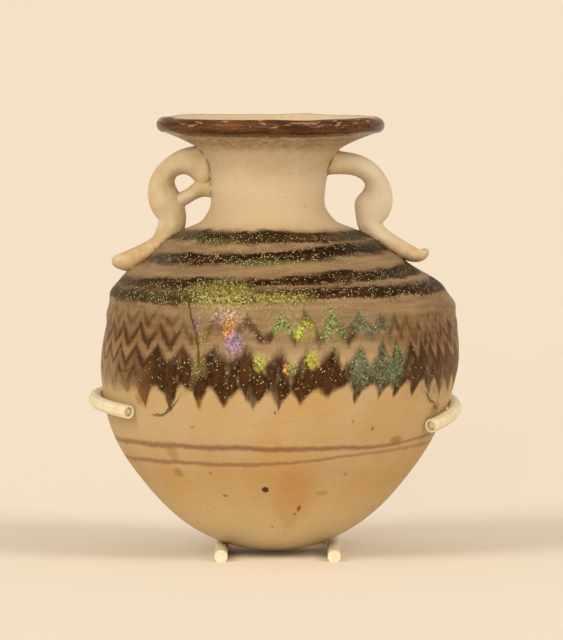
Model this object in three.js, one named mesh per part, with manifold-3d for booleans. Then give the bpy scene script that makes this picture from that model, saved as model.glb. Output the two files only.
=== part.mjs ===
// A core-formed glass oil flask, an aryballos, held upright in a small rod cradle.
// Millimetres, +Z up, the front towards -Y. The flask is one piece of fused glass: round body, neck,
// flared rim with a thread round its lip, and two ring handles whose tails run down the shoulder.
// It is hollow and open at the mouth. The cradle is soldered from three rods: a U-shaped foot that the
// round base rests on, a spine up the back, and a horseshoe whose two ends reach round to the front,
// each in a plastic sleeve.
import * as THREE from "three";
import { mergeVertices } from "three/addons/utils/BufferGeometryUtils.js";
import Module from "manifold-3d";

const wasm = await Module();
wasm.setup();

// The flask: outer sizes
const BODY_HEIGHT = 49.6; // base to the root of the neck
const BELLY_DIAMETER = 54.7;
const NECK_DIAMETER = 17; // at its narrowest
const NECK_HEIGHT = 16.4; // root of the neck to the top of the lip
const NECK_ROOT_FILLET = 1.7; // how far the neck spreads where it meets the shoulder
const LIP_DIAMETER = 34.8; // over the thread
const LIP_THREAD = 2.3; // thickness of the thread round the lip
const LIP_ARC = [-100, 150]; // degrees of the thread's section that stand clear of the rim
const RIM_WAVE = 0.35; // how far the hand-turned rim rises and falls
const LEAN_REACH = 1.6; // how far the hand-turned form leans aside at most

// The flask: glass thickness
const BASE_WALL = 4.4;
const BODY_WALL = 3.2;
const NECK_WALL = 3;
const RIM_WALL = 1.9;

// The handles
const HANDLE_REACH = 8; // neck wall to the middle of the coil, at its furthest
const HANDLE_COIL = 3.3; // thickness of the coil, seen from the front
const HANDLE_DEPTH = 4.6; // thickness of the coil, seen from the side
const HANDLE_BITE = 0.5; // how deep the coils are sunk in the wall, as a share of its thickness
const LEFT_TAIL_REACH = 9.9; // how far each tail runs on down the shoulder
const RIGHT_TAIL_REACH = 7.8;

// The cradle
const FOOT_ROD = 2; // diameter of the foot and the spine
const FOOT_FLAT = 0.2; // filed off the underside of the foot
const FOOT_SPACING = 17; // between the middles of the two legs
const FOOT_FRONT = 15; // from the flask's axis forward to the ends of the legs
const FOOT_BACK = 21; // from the flask's axis back to the bend of the U
const ARM_ROD = 1.2; // diameter of the horseshoe
const ARM_BELOW_BELLY = 5.6; // the horseshoe's level at the back, under the widest level of the belly
const LEFT_ARM_DROP = 1.9; // how far each arm falls from the back to its tip
const RIGHT_ARM_DROP = 4.2;
const LEFT_ARM_TURN = 125; // degrees round the belly from the back to each tip
const RIGHT_ARM_TURN = 117;
const SLEEVE_DIAMETER = 2.1;
const SLEEVE_CLEARANCE = 0.14; // between the rod and the sleeve's bore
const SLEEVE_TURN = 69; // degrees of turn that each sleeve covers
const SLEEVE_OVERHANG = 1.2; // degrees by which the sleeve passes the rod's end

const SEAT_GAP = 0.3; // between the glass and whatever holds it
const SPINE_GAP = 0.6; // between the glass and the spine
const SPINE_STATIONS = [0.62, 0.83, 1.03]; // shares of the horseshoe's level
const FLOOR_GAP = 0.25; // least height of the base over the surface that the foot stands on

// How finely the curves are cut
const TURN_SEGMENTS = 48;
const OUTSIDE_STEPS = 30;
const INSIDE_STEPS = 18;
const LIP_STEPS = 6;
const COIL_SIDES = 10;
const COIL_STEPS = 22;
const ROD_SIDES = 10; // even
const ARM_STEP = 6; // degrees
const BEND_STEPS = 8;
const FOOT_STEPS = 30;
const SPINE_STEPS = 12;
const BORE_RUNOUT = 2; // degrees by which the tool that bores a sleeve passes its ends
const SLIVER = 1e-4; // closer vertices than this are one

// The body's outline from the base to the shoulder, as shares of the belly's radius and the body's height.
const BODY_OUTLINE = [
  [0.1, 0.003],
  [0.24, 0.025],
  [0.4, 0.056],
  [0.52, 0.1],
  [0.62, 0.15],
  [0.737, 0.223],
  [0.86, 0.32],
  [0.936, 0.418],
  [0.98, 0.516],
  [1, 0.6],
  [0.976, 0.688],
  [0.968, 0.75],
  [0.944, 0.795],
  [0.868, 0.84],
  [0.735, 0.886],
  [0.64, 0.93],
  [0.555, 0.97],
];
const BELLY_LEVEL = 0.6 * BODY_HEIGHT;

// The neck and the underside of the rim: shares of the way out from neck to lip, and of the neck's height.
const NECK_OUTLINE = [
  [0, 0.24],
  [0.034, 0.39],
  [0.08, 0.53],
  [0.15, 0.67],
  [0.39, 0.755],
  [0.66, 0.815],
  [0.84, 0.865],
];
const FILLET_FOOT = 0.01; // the neck's fillet starts and ends at these shares of the neck's height
const FILLET_HEAD = 0.085;

// The turned form leans a little, as hand-worked glass does: shares of the flask's height, and shares of
// LEAN_REACH along X.
const LEAN = [
  [0, 0.125],
  [0.06, -0.375],
  [0.25, -0.375],
  [0.38, 0.03125],
  [0.5, 0.375],
  [0.57, 0.4375],
  [0.63, -0.125],
  [0.72, -0.625],
  [0.8, -1],
  [0.88, -0.875],
  [1, -0.625],
];

// Each handle from the neck down to the shoulder, then its tail. A row of the ring or of the bridge across
// its hole is the share of HANDLE_REACH out from the neck's wall, the share of the neck's height, and the
// share of HANDLE_COIL. A row of the tail is the share of its reach out from the ring's foot, the height of
// its middle over the glass as a share of HANDLE_COIL, its thickness as a share of that, and its width as a
// share of HANDLE_DEPTH.
const HANDLES = {
  left: {
    side: -1,
    tailReach: LEFT_TAIL_REACH,
    ring: [
      [-0.15, 0.6, 1.6],
      [0.4, 0.63, 1.2],
      [0.73, 0.55, 1.08],
      [0.97, 0.4, 1.12],
      [0.9, 0.24, 1.4],
      [0.82, 0.12, 1.4],
      [0.75, 0.01, 1.4],
    ],
    bridge: [
      [0, 0.35, 0.85],
      [0.2, 0.33, 0.7],
      [0.37, 0.29, 0.56],
      [0.56, 0.235, 0.6],
      [0.78, 0.2, 0.7],
    ],
    tail: [
      [0.06, 0.05, 0.9, 1],
      [0.3, 0.22, 0.8, 1.05],
      [0.6, 0.36, 0.8, 1],
      [0.84, 0.6, 0.95, 0.85],
      [0.96, 0.82, 0.8, 0.72],
      [1, 0.9, 0.4, 0.35],
    ],
  },
  right: {
    side: 1,
    tailReach: RIGHT_TAIL_REACH,
    ring: [
      [-0.15, 0.555, 1],
      [0.33, 0.565, 1],
      [0.67, 0.55, 0.97],
      [0.96, 0.45, 1.08],
      [1.01, 0.3, 1.36],
      [0.94, 0.17, 1.6],
      [0.85, 0.06, 1.45],
    ],
    tail: [
      [0.04, 0.1, 0.9, 1],
      [0.3, 0.28, 0.8, 1.05],
      [0.6, 0.34, 0.85, 1],
      [0.84, 0.52, 0.9, 0.85],
      [0.96, 0.8, 0.7, 0.7],
      [1, 0.9, 0.34, 0.35],
    ],
  },
};

const FLASK_HEIGHT = BODY_HEIGHT + NECK_HEIGHT;
const NECK_RADIUS = NECK_DIAMETER / 2;
const LIP_RADIUS = LIP_DIAMETER / 2;

// A straight-line reading of a table of [position, value] rows that rise in position.
function readTable(rows, position) {
  const next = rows.findIndex((row) => row[0] >= position);
  if (next === 0) return rows[0][1];
  if (next < 0) return rows[rows.length - 1][1];
  const [a, b] = [rows[next - 1], rows[next]];
  return a[1] + ((b[1] - a[1]) * (position - a[0])) / (b[0] - a[0]);
}

// The outside of the flask from the middle of the base to the edge of the rim, as radius and height.
function outsideCurve() {
  const points = [new THREE.Vector2(0, 0)];
  for (const [out, up] of BODY_OUTLINE)
    points.push(new THREE.Vector2((out * BELLY_DIAMETER) / 2, up * BODY_HEIGHT));
  const neck = (out, up) => new THREE.Vector2(NECK_RADIUS + out, BODY_HEIGHT + up * NECK_HEIGHT);
  points.push(neck(NECK_ROOT_FILLET * 1.3, FILLET_FOOT));
  points.push(neck(NECK_ROOT_FILLET * 0.25, FILLET_HEAD));
  for (const [out, up] of NECK_OUTLINE) points.push(neck(out * (LIP_RADIUS - NECK_RADIUS), up));
  return new THREE.SplineCurve(points);
}
const OUTSIDE = outsideCurve();

const FINE_STEPS = 600;
const FINE_OUTSIDE = OUTSIDE.getSpacedPoints(FINE_STEPS);
const BODY_SIDE = FINE_OUTSIDE.filter((p) => p.y <= BODY_HEIGHT);
const SHOULDER = BODY_SIDE.filter((p) => p.y >= BELLY_LEVEL).reverse();
const shoulderHeightAt = (radius) => readTable(SHOULDER.map((p) => [p.x, p.y]), radius);

// The place that stands off the outside of the body by a distance, square to the glass, at a height.
function besideBody(height, distance) {
  const step = BODY_SIDE.findIndex((p) => p.y >= height);
  const along = OUTSIDE.getTangentAt(step / FINE_STEPS);
  return new THREE.Vector2(along.y, -along.x).multiplyScalar(distance).add(BODY_SIDE[step]);
}

const LEAN_CURVE = new THREE.SplineCurve(
  LEAN.map(([up, along]) => new THREE.Vector2(up * FLASK_HEIGHT, along * LEAN_REACH)),
).getPoints(200);
const leanAt = (height) => readTable(LEAN_CURVE.map((p) => [p.x, p.y]), height);

// How thick the glass is, by height.
function wallAt(height) {
  return readTable(
    [
      [0, BASE_WALL],
      [0.35 * BODY_HEIGHT, BODY_WALL],
      [0.9 * BODY_HEIGHT, BODY_WALL],
      [BODY_HEIGHT, NECK_WALL],
      [BODY_HEIGHT + 0.6 * NECK_HEIGHT, NECK_WALL],
      [BODY_HEIGHT + 0.8 * NECK_HEIGHT, RIM_WALL],
    ],
    height,
  );
}

// The outside moved inwards by a share of the thickness of the glass. The whole of it gives the inside.
function insidePoints(depth) {
  const points = [new THREE.Vector2(0, depth * BASE_WALL)];
  for (let step = 1; step <= INSIDE_STEPS; step++) {
    const share = step / INSIDE_STEPS;
    const at = OUTSIDE.getPointAt(share);
    const along = OUTSIDE.getTangentAt(share);
    const inwards = new THREE.Vector2(-along.y, along.x);
    points.push(at.addScaledVector(inwards, depth * wallAt(at.y)));
  }
  return points;
}

// Leans a turned geometry, and waves its rim up and down.
function handTurned(geometry) {
  const at = geometry.getAttribute("position");
  const rimFoot = BODY_HEIGHT + 0.6 * NECK_HEIGHT;
  for (let i = 0; i < at.count; i++) {
    const [x, y, z] = [at.getX(i), at.getY(i), at.getZ(i)];
    const share = THREE.MathUtils.smoothstep(z, rimFoot, FLASK_HEIGHT);
    const turn = Math.atan2(y, x);
    const wave = Math.sin(2 * turn + 0.4) * 0.7 + Math.sin(3 * turn - 0.8) * 0.3;
    at.setX(i, x + leanAt(z));
    at.setZ(i, z + share * RIM_WAVE * wave);
  }
  return geometry;
}

// A three.js geometry as a closed solid, and back.
function solidOf(geometry) {
  const bare = geometry.clone();
  bare.deleteAttribute("normal");
  bare.deleteAttribute("uv");
  const merged = mergeVertices(bare, SLIVER);
  return new wasm.Manifold(
    new wasm.Mesh({
      numProp: 3,
      vertProperties: merged.getAttribute("position").array,
      triVerts: new Uint32Array(merged.index.array),
    }),
  );
}
function geometryOf(solid) {
  const mesh = solid.getMesh();
  const geometry = new THREE.BufferGeometry();
  geometry.setAttribute("position", new THREE.BufferAttribute(mesh.vertProperties, 3));
  geometry.setIndex(new THREE.BufferAttribute(mesh.triVerts, 1));
  geometry.computeVertexNormals();
  return geometry;
}

// A profile turned about +Z, and made into a solid.
function turned(points) {
  const geometry = new THREE.LatheGeometry(points, TURN_SEGMENTS);
  geometry.rotateX(Math.PI / 2);
  return solidOf(handTurned(geometry));
}

// A round rod along a path.
function rod(path, diameter, steps) {
  const section = new THREE.Shape().absarc(0, 0, diameter / 2, 0, 2 * Math.PI);
  const options = { steps, curveSegments: ROD_SIDES / 2, bevelEnabled: false, extrudePath: path };
  return solidOf(new THREE.ExtrudeGeometry(section, options));
}

// A coil of glass along a path in the plane of X and Z. size(share) gives its half thickness in that plane
// and across it.
function coil(path, size) {
  const geometry = new THREE.CylinderGeometry(1, 1, 1, COIL_SIDES, COIL_STEPS);
  const across = new THREE.Vector3(0, 1, 0);
  const at = geometry.getAttribute("position");
  for (let i = 0; i < at.count; i++) {
    const share = at.getY(i) + 0.5;
    const [half, halfAcross] = size(share);
    const place = path
      .getPointAt(share)
      .addScaledVector(path.getTangentAt(share).cross(across), at.getX(i) * half)
      .addScaledVector(across, at.getZ(i) * halfAcross);
    at.setXYZ(i, place.x, place.y, place.z);
  }
  return solidOf(geometry);
}

// A place on a handle, from a row of its ring.
function ringStation(side, [out, up, thick]) {
  const height = BODY_HEIGHT + up * NECK_HEIGHT;
  return {
    x: leanAt(height) + side * (NECK_RADIUS + out * HANDLE_REACH),
    z: height,
    thick: thick * HANDLE_COIL,
    wide: HANDLE_DEPTH,
  };
}

// A coil of glass through its stations.
function coilThrough(stations) {
  const path = new THREE.CatmullRomCurve3(stations.map((s) => new THREE.Vector3(s.x, 0, s.z)));
  const last = stations.length - 1;
  const half = (key, t) => readTable(stations.map((s, i) => [i / last, s[key]]), t) / 2;
  return coil(path, (share) => {
    const t = path.getUtoTmapping(share);
    return [half("thick", t), half("wide", t)];
  });
}

// One handle: a coil of glass from the neck out and down to the shoulder, drawn on into a tail. A bridge
// is the sagging end of the coil where it closes the ring's middle.
function handle({ side, ring, bridge, tail, tailReach }) {
  const stations = ring.map((row) => ringStation(side, row));
  const ringFoot = NECK_RADIUS + ring[ring.length - 1][0] * HANDLE_REACH;
  for (const [out, over, thick, wide] of tail) {
    const radius = ringFoot + out * tailReach;
    const height = shoulderHeightAt(radius);
    stations.push({
      x: leanAt(height) + side * radius,
      z: height + over * HANDLE_COIL,
      thick: thick * HANDLE_COIL,
      wide: wide * HANDLE_DEPTH,
    });
  }
  const main = coilThrough(stations);
  return bridge ? main.add(coilThrough(bridge.map((row) => ringStation(side, row)))) : main;
}

// The whole flask. The turned form goes up the outside, over the lip thread and down the inside.
function flask() {
  const lip = new THREE.Path();
  const from = THREE.MathUtils.degToRad(LIP_ARC[0]);
  const to = THREE.MathUtils.degToRad(LIP_ARC[1]);
  const thread = LIP_THREAD / 2;
  lip.absarc(LIP_RADIUS - thread, FLASK_HEIGHT - thread, thread, from, to);
  const glass = turned([
    ...OUTSIDE.getSpacedPoints(OUTSIDE_STEPS),
    ...lip.getSpacedPoints(LIP_STEPS),
    ...insidePoints(1).reverse(),
  ]);
  const core = insidePoints(HANDLE_BITE);
  const above = new THREE.Vector2(0, core[INSIDE_STEPS].y);
  const handles = handle(HANDLES.left).add(handle(HANDLES.right));
  return glass.add(handles.subtract(turned([...core, above])));
}

// How high the base stands, so that it clears both legs by the seat gap and the floor by the floor gap.
const LEG_LEVEL = FOOT_ROD / 2 - FOOT_FLAT;
function baseHeight() {
  const reach = FOOT_ROD / 2 + SEAT_GAP;
  let height = FLOOR_GAP;
  for (const point of FINE_OUTSIDE)
    for (const side of [-1, 1]) {
      const aside = side * point.x + leanAt(point.y) - (side * FOOT_SPACING) / 2;
      if (Math.abs(aside) < reach && point.y < BELLY_LEVEL)
        height = Math.max(height, LEG_LEVEL + Math.sqrt(reach ** 2 - aside ** 2) - point.y);
    }
  return height;
}
const BASE_HEIGHT = baseHeight();

// The foot: two legs joined by a half circle at the back.
function foot() {
  const bend = FOOT_SPACING / 2;
  const bendStart = FOOT_BACK - bend;
  const points = [];
  const leg = (side, along) => {
    const y = THREE.MathUtils.lerp(-FOOT_FRONT, bendStart, along);
    points.push(new THREE.Vector3(side * bend, y, LEG_LEVEL));
  };
  for (const along of [0, 0.4, 0.8]) leg(-1, along);
  for (let step = 0; step <= BEND_STEPS; step++) {
    const turn = Math.PI * (1 - step / BEND_STEPS);
    const [x, y] = [bend * Math.cos(turn), bendStart + bend * Math.sin(turn)];
    points.push(new THREE.Vector3(x, y, LEG_LEVEL));
  }
  for (const along of [0.8, 0.4, 0]) leg(1, along);
  const bar = rod(new THREE.CatmullRomCurve3(points), FOOT_ROD, FOOT_STEPS);
  const under = new THREE.BoxGeometry(4 * FOOT_SPACING, 4 * (FOOT_FRONT + FOOT_BACK), FOOT_ROD);
  return bar.subtract(solidOf(under.translate(0, 0, -FOOT_ROD / 2)));
}

// A point on the horseshoe, at an angle round the belly from the back: negative is left.
const ARM_LEVEL = BELLY_LEVEL - ARM_BELOW_BELLY;
function armPoint(degrees) {
  const [drop, whole] = degrees < 0 ? [LEFT_ARM_DROP, LEFT_ARM_TURN] : [RIGHT_ARM_DROP, RIGHT_ARM_TURN];
  const level = ARM_LEVEL - drop * (degrees / whole) ** 2;
  const { x: radius } = besideBody(level, SEAT_GAP + SLEEVE_DIAMETER / 2);
  const turn = THREE.MathUtils.degToRad(degrees);
  return new THREE.Vector3(
    leanAt(level) + radius * Math.sin(turn),
    radius * Math.cos(turn),
    level + BASE_HEIGHT,
  );
}
function armPath(from, to) {
  const points = [];
  const steps = Math.ceil(Math.abs(to - from) / ARM_STEP);
  for (let step = 0; step <= steps; step++)
    points.push(armPoint(THREE.MathUtils.lerp(from, to, step / steps)));
  return new THREE.CatmullRomCurve3(points);
}

// The spine: from the bend of the foot up the back of the flask to the horseshoe.
function spine() {
  const points = [new THREE.Vector3(0, FOOT_BACK, LEG_LEVEL)];
  for (const share of SPINE_STATIONS) {
    const beside = besideBody(share * ARM_LEVEL, SPINE_GAP + FOOT_ROD / 2);
    points.push(new THREE.Vector3(leanAt(beside.y), beside.x, beside.y + BASE_HEIGHT));
  }
  return rod(new THREE.CatmullRomCurve3(points), FOOT_ROD, SPINE_STEPS);
}

function cradle() {
  const arms = armPath(-LEFT_ARM_TURN, RIGHT_ARM_TURN);
  const armSteps = Math.ceil((LEFT_ARM_TURN + RIGHT_ARM_TURN) / ARM_STEP);
  return foot().add(spine()).add(rod(arms, ARM_ROD, armSteps));
}

// A sleeve over one arm's end. side is -1 or 1.
function sleeve(side) {
  const to = (side < 0 ? LEFT_ARM_TURN : RIGHT_ARM_TURN) + SLEEVE_OVERHANG;
  const from = to - SLEEVE_TURN;
  const steps = Math.ceil(SLEEVE_TURN / ARM_STEP);
  const outside = rod(armPath(side * from, side * to), SLEEVE_DIAMETER, steps);
  const bore = armPath(side * (from - BORE_RUNOUT), side * (to + BORE_RUNOUT));
  return outside.subtract(rod(bore, ARM_ROD + 2 * SLEEVE_CLEARANCE, steps));
}

// One named mesh.
function piece(name, solid, material) {
  const mesh = new THREE.Mesh(geometryOf(solid), material);
  mesh.name = name;
  return mesh;
}

const GLASS = new THREE.MeshStandardMaterial({ color: 0xcfae80, roughness: 0.35, metalness: 0 });
const PAINTED_ROD = new THREE.MeshStandardMaterial({ color: 0xd6bf95, roughness: 0.6, metalness: 0 });
const SLEEVING = new THREE.MeshStandardMaterial({ color: 0xdcc38c, roughness: 0.5, metalness: 0 });

const flaskMesh = piece("flask", flask(), GLASS);
flaskMesh.position.z = BASE_HEIGHT;

const whole = new THREE.Group();
whole.add(
  flaskMesh,
  piece("cradle", cradle(), PAINTED_ROD),
  piece("sleeve_left", sleeve(-1), SLEEVING),
  piece("sleeve_right", sleeve(1), SLEEVING),
);

// The origin is the middle of the underside of the whole part.
const box = new THREE.Box3().setFromObject(whole);
const middle = box.getCenter(new THREE.Vector3());
whole.position.set(-middle.x, -middle.y, -box.min.z);

const aryballos = new THREE.Group();
aryballos.add(whole);
export default aryballos;
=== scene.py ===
# %% [markdown]
# A core-formed glass oil flask
#
# The real flask is about 66 mm high. Its maker wound molten ivory glass round a clay core, laid dark threads
# of glass over it, dragged them up and down with a point into zigzags, rolled everything flush, and set two
# ring handles on. It is more than two thousand years old, so dirt sits in every joint and the dark glass has
# weathered into flecks of green, gold and violet.
#
# The frame below holds the true sizes as a plain faceted model. This script gives the flask its fine surface
# and each piece its finish. Everything is in metres, +Z is up and the front faces -Y.

# %% Load the frame
import math

import bmesh
import bpy
import numpy as np
from mathutils import Matrix, Vector, noise
from mathutils.bvhtree import BVHTree


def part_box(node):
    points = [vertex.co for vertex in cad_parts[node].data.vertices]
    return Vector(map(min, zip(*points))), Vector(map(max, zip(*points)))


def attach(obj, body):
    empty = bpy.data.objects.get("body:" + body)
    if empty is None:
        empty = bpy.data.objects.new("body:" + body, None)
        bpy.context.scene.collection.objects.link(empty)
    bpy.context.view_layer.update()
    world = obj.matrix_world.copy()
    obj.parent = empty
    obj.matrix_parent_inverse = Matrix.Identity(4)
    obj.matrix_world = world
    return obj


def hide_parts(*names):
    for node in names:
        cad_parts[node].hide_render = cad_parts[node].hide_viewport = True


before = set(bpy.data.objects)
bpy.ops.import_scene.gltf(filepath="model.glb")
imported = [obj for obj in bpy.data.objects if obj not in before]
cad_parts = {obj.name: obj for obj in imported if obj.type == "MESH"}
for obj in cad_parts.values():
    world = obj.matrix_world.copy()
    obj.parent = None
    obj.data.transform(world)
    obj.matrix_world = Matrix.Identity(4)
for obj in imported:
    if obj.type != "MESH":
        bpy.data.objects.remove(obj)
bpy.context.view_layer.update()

MM = 0.001
flask_low, flask_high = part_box("flask")
BASE = flask_low.z
FLASK_HEIGHT = flask_high.z - BASE
print(f"flask {FLASK_HEIGHT / MM:.1f} mm high, its base {BASE / MM:.2f} mm over the floor")

# %% [markdown]
# The camera
#
# A small museum piece is photographed from far away through a long lens, so that its sides hardly converge.
# Here the camera is a metre off and 3.3 degrees above level. The sensor's long side is the picture's height,
# so the lens follows from the height of the view at the flask.

# %% Camera
CAMERA_DISTANCE = 1.0
CAMERA_ELEVATION = math.radians(3.3)
VIEW_HEIGHT = 97.3 * MM
AIM_ABOVE_BASE = 35.1 * MM
AIM_ASIDE = 0.23 * MM

flask_middle = (flask_low + flask_high) / 2
aim = Vector((flask_middle.x + AIM_ASIDE, flask_middle.y, BASE + AIM_ABOVE_BASE))
towards_camera = Vector((0, -math.cos(CAMERA_ELEVATION), math.sin(CAMERA_ELEVATION)))
camera_data = bpy.data.cameras.new("camera")
camera_data.sensor_width = 36
camera_data.lens = camera_data.sensor_width * CAMERA_DISTANCE / VIEW_HEIGHT
camera_data.clip_start = 0.05
camera_data.clip_end = 100
camera = bpy.data.objects.new("camera", camera_data)
camera.location = aim + towards_camera * CAMERA_DISTANCE
camera.rotation_euler = towards_camera.to_track_quat("Z", "Y").to_euler()
bpy.context.collection.objects.link(camera)
bpy.context.scene.camera = camera
print(f"lens {camera_data.lens:.0f} mm")

# %% [markdown]
# Reading the wall off the frame
#
# The faceted flask already holds the true outline. Rays fired from outside and inside the wall give its two
# radii at each height. The hand-turned form leans a little from side to side, so the middle of the inside is
# found first at each height. The readings are smoothed, and that takes the facets out.

# %% Read the outline
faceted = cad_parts["flask"]
tree = BVHTree.FromObject(faceted, bpy.context.evaluated_depsgraph_get())
AXIS = Vector((flask_middle.x, flask_middle.y, 0))
FAR = 50 * MM  # well outside the wall
SLICE = 0.5 * MM
CAP_STEPS = 12
NECK_TOP = BASE + 63.4 * MM
CAP_OUTSIDE = 3 * MM
CAP_INSIDE = 7 * MM


def hit(x, y, z, direction):
    """The first place that a ray meets the faceted wall, or None."""
    return tree.ray_cast(Vector((x, y, z)), Vector(direction))[0]


def lean_at(z):
    """How far the middle of the wall is from the axis along X, at a height."""
    z = max(z, BASE + 8 * MM)
    way = -1 if z > NECK_TOP else 1  # the rim is met from outside
    aside = FAR if way < 0 else 0
    right = hit(AXIS.x + aside, AXIS.y, z, (way, 0, 0))
    left = hit(AXIS.x - aside, AXIS.y, z, (-way, 0, 0))
    return (right.x + left.x) / 2 - AXIS.x


def smoothed(values, spacing, reach):
    """The values run through a bell-shaped average that is reach wide, with both ends kept."""
    half = max(2, int(3 * reach / spacing))
    bell = np.exp(-0.5 * (np.arange(-half, half + 1) * spacing / reach) ** 2)
    before = 2 * values[0] - values[half:0:-1]
    after = 2 * values[-1] - values[-2 : -half - 2 : -1]
    padded = np.concatenate([before, values, after])
    return np.convolve(padded, bell / bell.sum(), mode="valid")


def resampled(points, spacing, reach=0.7 * MM):
    """The same line with even spacing and its facets smoothed out."""
    points = np.array(points)
    run = np.concatenate([[0], np.cumsum(np.hypot(*np.diff(points, axis=0).T))])
    even = np.linspace(0, run[-1], max(4, round(run[-1] / spacing)))
    return np.stack([smoothed(np.interp(even, run, points[:, k]), even[1], reach) for k in (0, 1)], axis=1)


heights = np.arange(BASE + SLICE, BASE + 66 * MM, SLICE)
leans = smoothed(np.array([lean_at(z) for z in heights]), SLICE, 1.5 * MM)


def cap(radius, height, pole):
    """The rounded end of a wall, from its pole to a radius at a height, as an arc."""
    rise = height - pole
    ball = (radius**2 + rise**2) / (2 * rise)
    turn = math.atan2(radius, ball - rise)
    turns = [turn * k / CAP_STEPS for k in range(CAP_STEPS)]
    return [(ball * math.sin(t), pole + ball * (1 - math.cos(t))) for t in turns]


def wall_line(outside):
    """Half of the wall's section as (radius, height), from the middle of the base up to the rim."""
    line = []
    for z, lean in zip(heights, leans):
        if z < BASE + (CAP_OUTSIDE if outside else CAP_INSIDE) or z > NECK_TOP:
            continue
        start, way = (AXIS.y - FAR, 1) if outside else (AXIS.y, -1)
        line.append((AXIS.y - hit(AXIS.x + lean, start, z, (0, way, 0)).y, z))
    pole = BASE if outside else hit(AXIS.x, AXIS.y, BASE + 20 * MM, (0, 0, -1)).z
    return cap(*line[0], pole) + line


outside = resampled(wall_line(True), 0.43 * MM)
inside = resampled(wall_line(False), 1.2 * MM)
widest = outside[:, 0].max() / MM
print(f"outside {len(outside)} points to radius {widest:.2f} mm, inside {len(inside)} points")

# %% [markdown]
# Turning the wall
#
# The wall's whole section, up the outside, over the lip thread and down the inside, is one line. Spinning it
# round the axis gives a closed skin with true thickness and an open mouth. A lathe form made by hand is never
# true, so afterwards every ring is shifted by the lean, and slow noise makes the surface a little lumpy.

# %% Turn the wall
LIP_THREAD = 2.3 * MM
LIP_ARC = [math.radians(-95), math.radians(150)]
LIP_STEPS = 14
TURN_STEPS = 240
LIP_TOP = BASE + 66 * MM

lip_radius = AXIS.y - hit(AXIS.x + leans[-1], AXIS.y - FAR, LIP_TOP - LIP_THREAD / 2, (0, 1, 0)).y
lip_middle = (lip_radius - LIP_THREAD / 2, LIP_TOP - LIP_THREAD / 2)
lip_turns = np.linspace(*LIP_ARC, LIP_STEPS)
lip = [
    (lip_middle[0] + LIP_THREAD / 2 * math.cos(t), lip_middle[1] + LIP_THREAD / 2 * math.sin(t))
    for t in lip_turns
]
section = [(max(r, 0), z) for r, z in [*outside, *lip, *inside[::-1]]]
section[0] = (0, section[0][1])
section[-1] = (0, section[-1][1])

turned = bmesh.new()
line = [turned.verts.new((AXIS.x, AXIS.y - r, z)) for r, z in section]
edges = [turned.edges.new(pair) for pair in zip(line, line[1:])]
once_round = {"cent": AXIS, "axis": (0, 0, 1), "angle": 2 * math.pi}
bmesh.ops.spin(turned, geom=[*line, *edges], steps=TURN_STEPS, use_merge=True, **once_round)
bmesh.ops.remove_doubles(turned, verts=turned.verts, dist=0.001 * MM)
bmesh.ops.recalc_face_normals(turned, faces=turned.faces)
print(f"turned wall: {len(turned.verts)} points, {len(turned.faces)} faces")

# %% [markdown]
# The marks of the hand
#
# Each ring is moved by the lean that was read before. On the outside only, the trails that were pressed into
# the soft glass still stand a hair proud on the shoulder, and the whole skin wavers slowly. The lip thread
# was laid on by hand, so it rises, falls and changes its thickness on the way round.

# %% Lean and waver
LUMP_DEPTH = 0.14 * MM
LUMP_SIZE = 9 * MM
RIB_DEPTH = 0.13 * MM
RIB_SPACING = 3.35 * MM
RIB_LOW, RIB_HIGH = BASE + 33 * MM, BASE + 49.5 * MM
LIP_WAVER = 0.22 * MM


def ramp(value, low, high):
    """0 below low, 1 above high, and a smooth step between them."""
    share = min(1, max(0, (value - low) / (high - low)))
    return share * share * (3 - 2 * share)


def turn_of(point):
    """The angle round the axis: 0 at the front, growing towards +X."""
    return math.atan2(point.x - AXIS.x, AXIS.y - point.y)


def mid_wall(z):
    """The radius of the middle of the wall, at a height."""
    return (np.interp(z, *outside.T[::-1]) + np.interp(z, *inside.T[::-1])) / 2


def ribs(turn, z):
    """The pressed trails: they wind up the shoulder by one spacing in each turn."""
    where = ramp(z, RIB_LOW, RIB_LOW + 4 * MM) * (1 - ramp(z, RIB_HIGH - 1 * MM, RIB_HIGH))
    return where * math.cos(2 * math.pi * (z - BASE) / RIB_SPACING - turn)


def lip_shift(turn):
    """How far the lip is moved out and up, at an angle."""
    around = Vector((math.cos(turn), math.sin(turn), 0))
    out = noise.noise(around * 2.1 + Vector((5, 0, 0)))
    up = noise.noise(around * 2.4 + Vector((0, 7, 3)))
    return out * LIP_WAVER * 0.6, up * LIP_WAVER * 1.6


for vertex in turned.verts:
    point = vertex.co.copy()
    turn = turn_of(point)
    spread = Vector((point.x - AXIS.x, point.y - AXIS.y, 0))
    radius = spread.length
    shift = 0
    if point.z < NECK_TOP and radius > mid_wall(point.z):
        shift = LUMP_DEPTH * noise.noise(point / LUMP_SIZE) + RIB_DEPTH * ribs(turn, point.z)
    near_lip = ramp(radius, lip_radius - 5 * MM, lip_radius - 1 * MM)
    near_lip *= ramp(point.z, BASE + 60 * MM, BASE + 64 * MM)
    lip_out, lip_up = lip_shift(turn)
    if radius > 1 * MM:
        vertex.co += spread / radius * (shift + near_lip * lip_out)
    vertex.co.z += near_lip * lip_up
    vertex.co.x += np.interp(point.z, heights, leans)


# %% [markdown]
# Handles
#
# Each handle is one gather of soft glass. It was pressed on the neck, drawn out into a ring, set down on the
# shoulder and drawn on into a tail whose tip was pinched and flicked up. The left one's hole is crossed by a
# string of glass that ran off the gather. All three are modelled in that way: a ring of points is extruded
# from station to station, and turned square to the path and resized at each. The stations are in millimetres
# from the flask's axis and base.

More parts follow.
